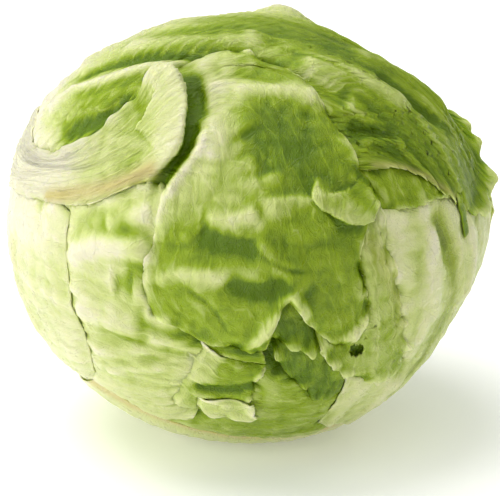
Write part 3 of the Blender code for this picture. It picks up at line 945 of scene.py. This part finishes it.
def leaf_sheet(leaf, gap, seed):
    """The leaf's outer face as a grid of points, with its colour and margin at each."""
    directions, share_across, length, width = sheet_directions(leaf, seed)
    base = head_radius(directions)
    points = directions * base[..., None]
    from_stem = run_lengths(points)
    to_tip = from_stem[-1] - from_stem
    sideways = np.swapaxes(run_lengths(np.swapaxes(points, 0, 1)), 0, 1)
    to_side = np.minimum(sideways, sideways[:, -1:] - sideways)
    flat_across = share_across * width

    # On the leaf's own map, pleats are long and narrow.
    leaf_map = np.stack((flat_across, from_stem * PLEAT_STRETCH, np.zeros_like(from_stem)), axis=-1)
    radius, lap = with_blade(leaf, base, points, leaf_map, seed)
    radius = with_margin(leaf, radius, points, share_across, to_tip, to_side, seed)
    radius, above = draped(pressed(radius, directions), directions, gap)
    if leaf.flap:
        radius = radius - FLAP_ROOT_DEPTH * (1.0 - ramp(from_stem, 0.0, FLAP_ROOT_REACH))
    sheet = directions * radius[..., None] + lap
    kept = np.ones((sheet.shape[0] - 1, sheet.shape[1] - 1), bool)
    for place, size in leaf.holes:
        sheet, kept = pierced(sheet, kept, place, size * MM)

    reached = from_stem / length
    green, tan = leaf_colour(leaf, points, radius, reached, seed)
    return {
        "points": sheet,
        "kept": kept,
        "uv": np.stack((flat_across + leaf.slant * from_stem, from_stem), axis=-1) * MAP_SCALE,
        "green": green,
        "tan": tan,
        "margin": np.exp(-np.minimum(to_tip, to_side) / RIM_REACH),
        "base": 1.0 - ramp(reached, 0.05, 0.75),
        "open": np.where(np.isfinite(above), COVERED_RELIEF, 1.0),
    }


def put(tree, kind, settings=None, **inputs):
    """A new node, its settings made and its inputs set or linked by name (_ for a space)."""
    made = tree.nodes.new(kind)
    for name, value in (settings or {}).items():
        setattr(made, name, value)
    for name, value in inputs.items():
        key = int(name[1:]) if name[0] == "i" and name[1:].isdigit() else name.replace("_", " ")
        socket = made.inputs[key]
        if isinstance(value, bpy.types.NodeSocket):
            tree.links.new(value, socket)
        else:
            socket.default_value = value
    return made


def math_node(tree, operation, *values):
    """The result of a Math node on the values."""
    inputs = {f"i{index}": value for index, value in enumerate(values)}
    return put(tree, "ShaderNodeMath", {"operation": operation}, **inputs).outputs[0]


def stepped(tree, value, low, high, to_low=0.0, to_high=1.0):
    """A smooth step of a value from one range to another."""
    return put(
        tree, "ShaderNodeMapRange", {"interpolation_type": "SMOOTHSTEP"},
        i0=value, i1=low, i2=high, i3=to_low, i4=to_high,
    ).outputs[0]


def vein_pattern(tree, place):
    """Ribs, the net of veins and the swellings between them, on a leaf map in centimetres."""
    wobble = put(
        tree, "ShaderNodeTexNoise", {"noise_dimensions": "2D"}, Vector=place, Scale=0.9, Detail=2.0
    ).outputs["Color"]
    shift = put(tree, "ShaderNodeVectorMath", {"operation": "SUBTRACT"}, i0=wobble, i1=(0.5, 0.5, 0.5))
    bent = put(
        tree, "ShaderNodeVectorMath", {"operation": "MULTIPLY_ADD"},
        i0=shift.outputs[0], i1=(0.7, 1.2, 0.0), i2=place,
    ).outputs[0]

    def cells(scale, size):
        stretched = put(
            tree, "ShaderNodeVectorMath", {"operation": "MULTIPLY"}, i0=bent, i1=scale
        ).outputs[0]
        return put(
            tree, "ShaderNodeTexVoronoi",
            {"voronoi_dimensions": "2D", "feature": "DISTANCE_TO_EDGE"},
            Vector=stretched, Scale=size, Randomness=0.9,
        ).outputs["Distance"]

    ribs = stepped(tree, cells((1.0, 0.09, 1.0), 1.0), 0.0, 0.07, 1.0, 0.0)
    net_edge = cells((1.0, 0.45, 1.0), 1.8)
    net = stepped(tree, net_edge, 0.0, 0.06, 1.0, 0.0)
    swell = stepped(tree, net_edge, 0.0, 0.5)
    fine_edge = cells((1.0, 0.5, 1.0), 6.0)
    fine = stepped(tree, fine_edge, 0.0, 0.14, 1.0, 0.0)
    return ribs, net, swell, fine


def relief_group():
    """Geometry nodes that raise the ribs and swell the blade between the veins."""
    name = "Leaf Relief"
    if name in bpy.data.node_groups:
        return bpy.data.node_groups[name]
    tree = bpy.data.node_groups.new(name, "GeometryNodeTree")
    tree.interface.new_socket("Geometry", in_out="INPUT", socket_type="NodeSocketGeometry")
    for label in ("Rib Height", "Blister Height"):
        tree.interface.new_socket(label, in_out="INPUT", socket_type="NodeSocketFloat")
    tree.interface.new_socket("Material", in_out="INPUT", socket_type="NodeSocketMaterial")
    tree.interface.new_socket("Geometry", in_out="OUTPUT", socket_type="NodeSocketGeometry")
    given = tree.nodes.new("NodeGroupInput")

    def attribute(label, kind):
        return put(tree, "GeometryNodeInputNamedAttribute", {"data_type": kind}, Name=label).outputs[0]

    place = attribute("leaf_map", "FLOAT_VECTOR")
    ribs, net, swell, fine = vein_pattern(tree, place)
    base = attribute("base", "FLOAT")
    margin = attribute("margin", "FLOAT")
    inland = math_node(tree, "SUBTRACT", 1.0, margin)
    rib_scale = math_node(tree, "MULTIPLY_ADD", base, 1.2, 0.25)
    rib = math_node(tree, "MULTIPLY", ribs, rib_scale)
    rib = math_node(tree, "MULTIPLY", rib, given.outputs["Rib Height"])
    flat = math_node(tree, "SUBTRACT", 1.0, math_node(tree, "MULTIPLY", base, 0.6))
    blister = math_node(tree, "MULTIPLY", swell, flat)
    blister = math_node(tree, "MULTIPLY", blister, given.outputs["Blister Height"])
    height = math_node(tree, "MULTIPLY", math_node(tree, "ADD", rib, blister), inland)
    height = math_node(tree, "MULTIPLY", height, attribute("open", "FLOAT"))
    normal = tree.nodes.new("GeometryNodeInputNormal").outputs[0]
    offset = put(tree, "ShaderNodeVectorMath", {"operation": "SCALE"}, i0=normal, Scale=height).outputs[0]
    moved = put(
        tree, "GeometryNodeSetPosition", Geometry=given.outputs["Geometry"], Offset=offset
    ).outputs[0]
    realized = put(tree, "GeometryNodeRealizeInstances", Geometry=moved).outputs[0]
    finished = put(
        tree, "GeometryNodeSetMaterial", Geometry=realized, Material=given.outputs["Material"]
    ).outputs[0]
    put(tree, "NodeGroupOutput", Geometry=finished)
    return tree


def vein_group():
    """The same pattern for the materials."""
    name = "Leaf Veins"
    if name in bpy.data.node_groups:
        return bpy.data.node_groups[name]
    tree = bpy.data.node_groups.new(name, "ShaderNodeTree")
    tree.interface.new_socket("Map", in_out="INPUT", socket_type="NodeSocketVector")
    for label in ("Ribs", "Net", "Swell", "Fine"):
        tree.interface.new_socket(label, in_out="OUTPUT", socket_type="NodeSocketFloat")
    given = tree.nodes.new("NodeGroupInput")
    ribs, net, swell, fine = vein_pattern(tree, given.outputs["Map"])
    put(tree, "NodeGroupOutput", Ribs=ribs, Net=net, Swell=swell, Fine=fine)
    return tree


def new_material(name, **values):
    """A new material, its node tree, and its shader with values set by name (_ for a space)."""
    material = bpy.data.materials.new(name)
    material.use_nodes = True
    shader = material.node_tree.nodes["Principled BSDF"]
    for label, value in values.items():
        shader.inputs[label.replace("_", " ")].default_value = value
    return material, material.node_tree, shader


def leaf_material():
    """Waxy leaf: greener towards the tip, paler along its veins."""
    name = "leaf_blade"
    if name in bpy.data.materials:
        return bpy.data.materials[name]
    colours = bpy.context.scene.lettuce_colours
    material, tree, shader = new_material(
        name, Subsurface_Weight=0.4, Subsurface_Radius=(0.8, 1.0, 0.25), Subsurface_Scale=0.003, IOR=1.34
    )
    place = put(tree, "ShaderNodeUVMap", {"uv_map": "leaf_map"}).outputs[0]
    veins = put(tree, "ShaderNodeGroup", {"node_tree": vein_group()}, Map=place)

    def attribute(label):
        return put(tree, "ShaderNodeAttribute", {"attribute_name": label}).outputs["Fac"]

    mottle = put(
        tree, "ShaderNodeTexNoise", {"noise_dimensions": "2D"}, Vector=place, Scale=2.2, Detail=5.0,
        Roughness=0.6,
    ).outputs["Fac"]
    uneven = math_node(tree, "SUBTRACT", mottle, 0.5)
    # The green attribute also holds the painted shade and painted highlights from leaf_colour.
    green = math_node(tree, "MULTIPLY_ADD", uneven, MOTTLE_GREEN, attribute("green"))
    vein = veins.outputs["Ribs"]
    for label, share in (("Net", 0.4), ("Fine", 0.15)):
        finer = math_node(tree, "MULTIPLY", veins.outputs[label], share)
        vein = math_node(tree, "MAXIMUM", vein, finer)
    rim = attribute("margin")
    vein = math_node(tree, "MULTIPLY", vein, VEIN_PALING)
    paler = math_node(tree, "MULTIPLY_ADD", rim, RIM_PALING, vein)
    green = math_node(tree, "SUBTRACT", green, paler)
    blend = put(tree, "ShaderNodeValToRGB", Fac=green)
    elements = blend.color_ramp.elements
    while len(elements) < len(COLOUR_STOPS):
        elements.new(0.5)
    for element, (label, position) in zip(elements, COLOUR_STOPS):
        element.position = position
        element.color = (*getattr(colours, label), 1.0)
    tanned = put(
        tree, "ShaderNodeMix", {"data_type": "RGBA"}, Factor=attribute("tan"),
        i6=blend.outputs["Color"], i7=(*colours.tan, 1.0),
    ).outputs[2]
    tree.links.new(tanned, shader.inputs["Base Color"])
    rough = math_node(tree, "MULTIPLY_ADD", mottle, 0.30, 0.16)
    tree.links.new(rough, shader.inputs["Roughness"])
    grain = put(
        tree, "ShaderNodeTexNoise", {"noise_dimensions": "2D"}, Vector=place, Scale=14.0, Detail=3.0
    ).outputs["Fac"]
    relief = math_node(tree, "MULTIPLY_ADD", veins.outputs["Fine"], 0.25, grain)
    relief = math_node(tree, "MULTIPLY_ADD", veins.outputs["Net"], 0.5, relief)
    bump = put(tree, "ShaderNodeBump", Height=relief, Strength=0.7, Distance=0.0005)
    tree.links.new(bump.outputs[0], shader.inputs["Normal"])
    return material


def plain_material(name, light, dark, scale, roughness):
    """A mottled finish between two colours."""
    material, tree, shader = new_material(
        name, Roughness=roughness, Subsurface_Weight=0.2, Subsurface_Scale=0.002
    )
    place = put(tree, "ShaderNodeTexCoord").outputs["Object"]
    mottle = put(
        tree, "ShaderNodeTexNoise", Vector=place, Scale=scale, Detail=6.0, Roughness=0.65
    ).outputs["Fac"]
    blend = put(
        tree, "ShaderNodeMix", {"data_type": "RGBA"}, Factor=stepped(tree, mottle, 0.4, 0.75),
        i6=(*light, 1.0), i7=(*dark, 1.0),
    ).outputs[2]
    tree.links.new(blend, shader.inputs["Base Color"])
    bump = put(tree, "ShaderNodeBump", Height=mottle, Strength=0.4, Distance=0.0006)
    tree.links.new(bump.outputs[0], shader.inputs["Normal"])
    return material


def add_piece(name, mesh, material):
    """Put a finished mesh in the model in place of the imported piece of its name."""
    if not mesh.materials:
        mesh.materials.append(material)
    piece = bpy.data.objects.new(name + "_skin", mesh)
    bpy.context.scene.collection.objects.link(piece)
    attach(piece, "root")
    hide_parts(name)


def sheet_mesh(name, sheets):
    """A mesh of the sheets' quads with their map and attributes, faces outwards."""
    points, quads = [], []
    count = 0
    for sheet in sheets:
        grid = sheet["points"]
        rows, columns = grid.shape[:2]
        numbers = count + np.arange(rows * columns).reshape(rows, columns)
        made = np.stack((numbers[:-1, :-1], numbers[:-1, 1:], numbers[1:, 1:], numbers[1:, :-1]), axis=-1)
        middle = grid[rows // 2 : rows // 2 + 2, columns // 2 : columns // 2 + 2]
        facing = np.cross(middle[0, 1] - middle[0, 0], middle[1, 0] - middle[0, 0]) @ middle[0, 0]
        if facing < 0:
            made = made[..., ::-1]
        quads.append(made[sheet["kept"]])
        points.append((grid + np.array(HEAD_PLACE)).reshape(-1, 3))
        count += rows * columns
    mesh = bpy.data.meshes.new(name)
    mesh.from_pydata(np.concatenate(points).tolist(), [], np.concatenate(quads).tolist())
    corners = np.empty(len(mesh.loops), int)
    mesh.loops.foreach_get("vertex_index", corners)
    layer = mesh.uv_layers.new(name="leaf_map")
    places = np.concatenate([sheet["uv"].reshape(-1, 2) for sheet in sheets])
    layer.data.foreach_set("uv", places[corners].ravel())
    for label in SHEET_VALUES:
        attribute = mesh.attributes.new(label, "FLOAT", "POINT")
        attribute.data.foreach_set("value", np.concatenate([sheet[label].ravel() for sheet in sheets]))
    body = bmesh.new()
    body.from_mesh(mesh)
    bmesh.ops.delete(body, geom=[point for point in body.verts if not point.link_faces], context="VERTS")
    body.to_mesh(mesh)
    body.free()
    return mesh


def add_leaf(name, sheets):
    """The leaf raised along its veins, given its thickness, and put in the model."""
    settings = bpy.context.scene.lettuce_leaf
    mesh = sheet_mesh(name, sheets)
    material = leaf_material()
    raw = bpy.data.objects.new(name + "_sheet", mesh)
    bpy.context.scene.collection.objects.link(raw)
    group = relief_group()
    bumps = raw.modifiers.new("Relief", "NODES")
    bumps.node_group = group
    values = {
        "Rib Height": settings.rib_height,
        "Blister Height": settings.blister_height,
        "Material": material,
    }
    for item in group.interface.items_tree:
        if item.in_out == "INPUT" and item.name in values:
            bumps[item.identifier] = values[item.name]
    thick = raw.modifiers.new("Thickness", "SOLIDIFY")
    thick.thickness = settings.thickness
    thick.offset = -1.0
    graph = bpy.context.evaluated_depsgraph_get()
    final = bpy.data.meshes.new_from_object(raw.evaluated_get(graph), depsgraph=graph)
    bpy.data.objects.remove(raw)
    final.name = name
    final.shade_smooth()
    add_piece(name, final, material)


class LETTUCE_OT_outer_leaves(bpy.types.Operator):
    """Make the leaves that can be seen, from the outside in"""

    bl_idname = "lettuce.outer_leaves"
    bl_label = "Outer Leaves"

    def execute(self, context):
        settings = context.scene.lettuce_leaf
        for number, (name, leaves) in enumerate(OUTER_LEAVES.items()):
            sheets = []
            for order, leaf in enumerate(leaves):
                sheet = leaf_sheet(leaf, settings.gap, settings.seed + 20 * number + 100 * order)
                COVERING.add(sheet["points"][FLAP_ROOT_ROWS if leaf.flap else 0 :])
                sheets.append(sheet)
            add_leaf(name, sheets)
        return {"FINISHED"}


def inner_ribs(number):
    """The ribs of a hidden leaf, the next one round the stem from the one outside it."""
    ribs = []
    for rib in range(INNER_RIBS):
        azimuth = INNER_TURN * number + INNER_HALF_FAN * (2.0 * rib / (INNER_RIBS - 1) - 1.0)
        places = []
        for reach in INNER_REACH:
            x, y, z = stem_direction(azimuth, reach)
            places.append((math.degrees(math.atan2(x, -y)), math.degrees(math.asin(z))))
        ribs.append(places)
    return ribs


class LETTUCE_OT_inner_leaves(bpy.types.Operator):
    """Make the hidden leaves under them"""

    bl_idname = "lettuce.inner_leaves"
    bl_label = "Inner Leaves"

    def execute(self, context):
        settings = context.scene.lettuce_leaf
        for number in range(INNER_LEAF_COUNT):
            leaf = Leaf(inner_ribs(number), cell=INNER_CELL, ruffle=1.5, base=0.0, blade=0.5)
            sheet = leaf_sheet(leaf, settings.inner_gap, settings.seed + 200 + 10 * number)
            COVERING.add(sheet["points"])
            add_leaf(f"inner_leaf_{number + 1}", [sheet])
        return {"FINISHED"}


def stem_place(points):
    """Points on the stem's own axes, brought to where the stem is."""
    axes = np.stack((RIGHTWARD, -UPWARD, STEM))
    return points @ axes + np.array(HEAD_PLACE)


def turned_mesh(name, rings):
    """A closed mesh from rings of points, each ring a row, with a middle point at both ends."""
    count, sides = rings.shape[:2]
    points = np.concatenate((rings.reshape(-1, 3), rings[0].mean(0)[None], rings[-1].mean(0)[None]))
    faces = []
    for ring in range(count - 1):
        for side in range(sides):
            after = (side + 1) % sides
            a, b = ring * sides + side, ring * sides + after
            faces.append((a, b, b + sides, a + sides))
    for side in range(sides):
        after = (side + 1) % sides
        faces.append((after, side, count * sides))
        faces.append(((count - 1) * sides + side, (count - 1) * sides + after, count * sides + 1))
    mesh = bpy.data.meshes.new(name)
    mesh.from_pydata(points.tolist(), [], faces)
    body = bmesh.new()
    body.from_mesh(mesh)
    bmesh.ops.recalc_face_normals(body, faces=body.faces)
    body.to_mesh(mesh)
    body.free()
    mesh.shade_smooth()
    return mesh


class LETTUCE_OT_heart(bpy.types.Operator):
    """Make the tight bud of youngest leaves in the middle"""

    bl_idname = "lettuce.heart"
    bl_label = "Heart"

    def execute(self, context):
        rows, sides = 60, 120
        turn = np.linspace(0.02, 0.98, rows)[:, None] * math.pi * np.ones(sides)
        round_angle = np.linspace(0.0, math.tau, sides, endpoint=False) * np.ones((rows, 1))
        circle = (np.sin(turn) * np.cos(round_angle), np.sin(turn) * np.sin(round_angle), -np.cos(turn))
        directions = np.stack(circle, axis=-1)
        folds = np.sin(5 * round_angle + 4.0 * turn + 2.0 * ripple(directions, 0.6, 70))
        radius = HEART_RADIUS - HEART_MARGIN + HEART_FOLD * folds * np.sin(turn)
        rings = stem_place(directions * radius[..., None])
        material = plain_material("heart_bud", (0.80, 0.78, 0.42), (0.62, 0.66, 0.24), 60.0, 0.5)
        add_piece("heart_bud", turned_mesh("heart_bud", rings), material)
        return {"FINISHED"}


class LETTUCE_OT_stem(bpy.types.Operator):
    """Make the stem and its cut face"""

    bl_idname = "lettuce.stem"
    bl_label = "Stem"

    def execute(self, context):
        sides = 96
        around = np.linspace(0.0, math.tau, sides, endpoint=False)
        edge_reach = STEM_CUT_REACH - STEM_ROUNDING
        profile = []
        for share in np.linspace(0.0, 1.0, 24):
            radius = STEM_TIP_RADIUS + (STEM_CUT_RADIUS - STEM_TIP_RADIUS) * share
            profile.append((radius, STEM_TIP_REACH + (edge_reach - STEM_TIP_REACH) * share))
        for share in np.linspace(0.1, 1.0, 10):
            bend = share * math.pi / 2
            inset = STEM_ROUNDING * (1.0 - math.cos(bend))
            drop = STEM_ROUNDING * (1.0 - math.sin(bend))
            profile.append((STEM_CUT_RADIUS - inset, STEM_CUT_REACH - drop))
        for share in np.linspace(0.95, 0.05, 16):
            reach = STEM_CUT_REACH - STEM_DISH * (1.0 - share)
            profile.append(((STEM_CUT_RADIUS - STEM_ROUNDING) * share, reach))
        rings = []
        for radius, reach in profile:
            circle = (radius * np.cos(around), radius * np.sin(around), np.full(sides, reach))
            ring = np.stack(circle, axis=-1)
            wave = 1.0 - STEM_UNEVENNESS + STEM_UNEVENNESS * ripple(ring, 0.006, 80)
            ring[:, :2] *= wave[:, None]
            rings.append(ring)
        material = plain_material("cut_stem", (0.80, 0.74, 0.55), (0.48, 0.30, 0.14), 150.0, 0.6)
        add_piece("stem", turned_mesh("stem", stem_place(np.array(rings))), material)
        return {"FINISHED"}


class LETTUCE_OT_stage(bpy.types.Operator):
    """Make the floor, the lights and the camera"""

    bl_idname = "lettuce.stage"
    bl_label = "Stage"

    def execute(self, context):
        stage = context.scene.lettuce_stage
        floor_mesh = bpy.data.meshes.new("floor")
        signs = ((-1, -1), (1, -1), (1, 1), (-1, 1))
        corners = [(x * FLOOR_HALF, y * FLOOR_HALF, 0.0) for x, y in signs]
        floor_mesh.from_pydata(corners, [], [(0, 1, 2, 3)])
        floor = bpy.data.objects.new("floor", floor_mesh)
        context.scene.collection.objects.link(floor)
        paint = new_material(
            "floor_white", Base_Color=(0.95, 0.95, 0.945, 1.0), Roughness=0.9, Specular_IOR_Level=0.1,
            Emission_Color=(1.0, 1.0, 1.0, 1.0), Emission_Strength=0.18,
        )[0]
        floor_mesh.materials.append(paint)

        world = bpy.data.worlds.new("studio")
        world.use_nodes = True
        sky = world.node_tree
        toward = put(sky, "ShaderNodeTexCoord").outputs["Generated"]
        height = put(sky, "ShaderNodeSeparateXYZ", Vector=toward).outputs["Z"]
        low, high = (share * stage.fill_strength for share in SKY_SHARES)
        overhead = stepped(sky, height, 0.0, 0.9, low, high)
        background = sky.nodes["Background"]
        background.inputs["Color"].default_value = (1.0, 1.0, 1.0, 1.0)
        sky.links.new(overhead, background.inputs["Strength"])
        context.scene.world = world

        lights = (
            ("key", "SUN", (-0.30, 0.12, 0.94), math.radians(45.0), stage.key_strength),
            ("side", "AREA", (-1.00, -0.42, 0.34), 0.7, stage.side_power),
        )
        for name, kind, place, size, power in lights:
            lamp = bpy.data.lights.new(name, kind)
            lamp.energy = power
            if kind == "SUN":
                lamp.angle = size
            else:
                lamp.shape = "DISK"
                lamp.size = size
            holder = bpy.data.objects.new(name, lamp)
            holder.location = place
            holder.rotation_euler = (LIGHT_AIM - Vector(place)).to_track_quat("-Z", "Y").to_euler()
            context.scene.collection.objects.link(holder)

        lens = bpy.data.cameras.new("camera")
        lens.sensor_width = 36.0
        lens.lens = lens.sensor_width * stage.distance / stage.view_width
        camera = bpy.data.objects.new("camera", lens)
        back = Vector((0.0, -math.cos(stage.elevation), math.sin(stage.elevation)))
        up = Vector((0.0, math.sin(stage.elevation), math.cos(stage.elevation)))
        camera.location = HEAD_PLACE - up * CAMERA_DROP + back * stage.distance
        camera.rotation_euler = (-back).to_track_quat("-Z", "Y").to_euler()
        context.scene.collection.objects.link(camera)
        context.scene.camera = camera
        context.scene.view_settings.view_transform = "Standard"
        return {"FINISHED"}


class LETTUCE_PT_panel(bpy.types.Panel):
    """Lists the pieces of the head"""

    bl_idname = "LETTUCE_PT_panel"
    bl_label = "Lettuce Head"
    bl_space_type = "VIEW_3D"
    bl_region_type = "UI"
    bl_category = "Lettuce"

    def draw(self, context):
        for operator in OPERATORS:
            self.layout.operator(operator.bl_idname)
        for group in SETTINGS:
            settings = getattr(context.scene, group)
            box = self.layout.box()
            for name in settings.__annotations__:
                box.prop(settings, name)


OPERATORS = (
    LETTUCE_OT_outer_leaves,
    LETTUCE_OT_inner_leaves,
    LETTUCE_OT_heart,
    LETTUCE_OT_stem,
    LETTUCE_OT_stage,
)
SETTINGS = {
    "lettuce_leaf": LettuceLeafSettings,
    "lettuce_colours": LettuceColourSettings,
    "lettuce_stage": LettuceStageSettings,
}
CLASSES = (*SETTINGS.values(), *OPERATORS, LETTUCE_PT_panel)


def register():
    for kind in CLASSES:
        bpy.utils.register_class(kind)
    for name, kind in SETTINGS.items():
        setattr(bpy.types.Scene, name, PointerProperty(type=kind))


def unregister():
    for name in SETTINGS:
        delattr(bpy.types.Scene, name)
    for kind in reversed(CLASSES):
        bpy.utils.unregister_class(kind)


def main():
    register()
    bpy.ops.lettuce.outer_leaves()
    bpy.ops.lettuce.inner_leaves()
    bpy.ops.lettuce.heart()
    bpy.ops.lettuce.stem()
    bpy.ops.lettuce.stage()


if __name__ == "__main__":
    main()
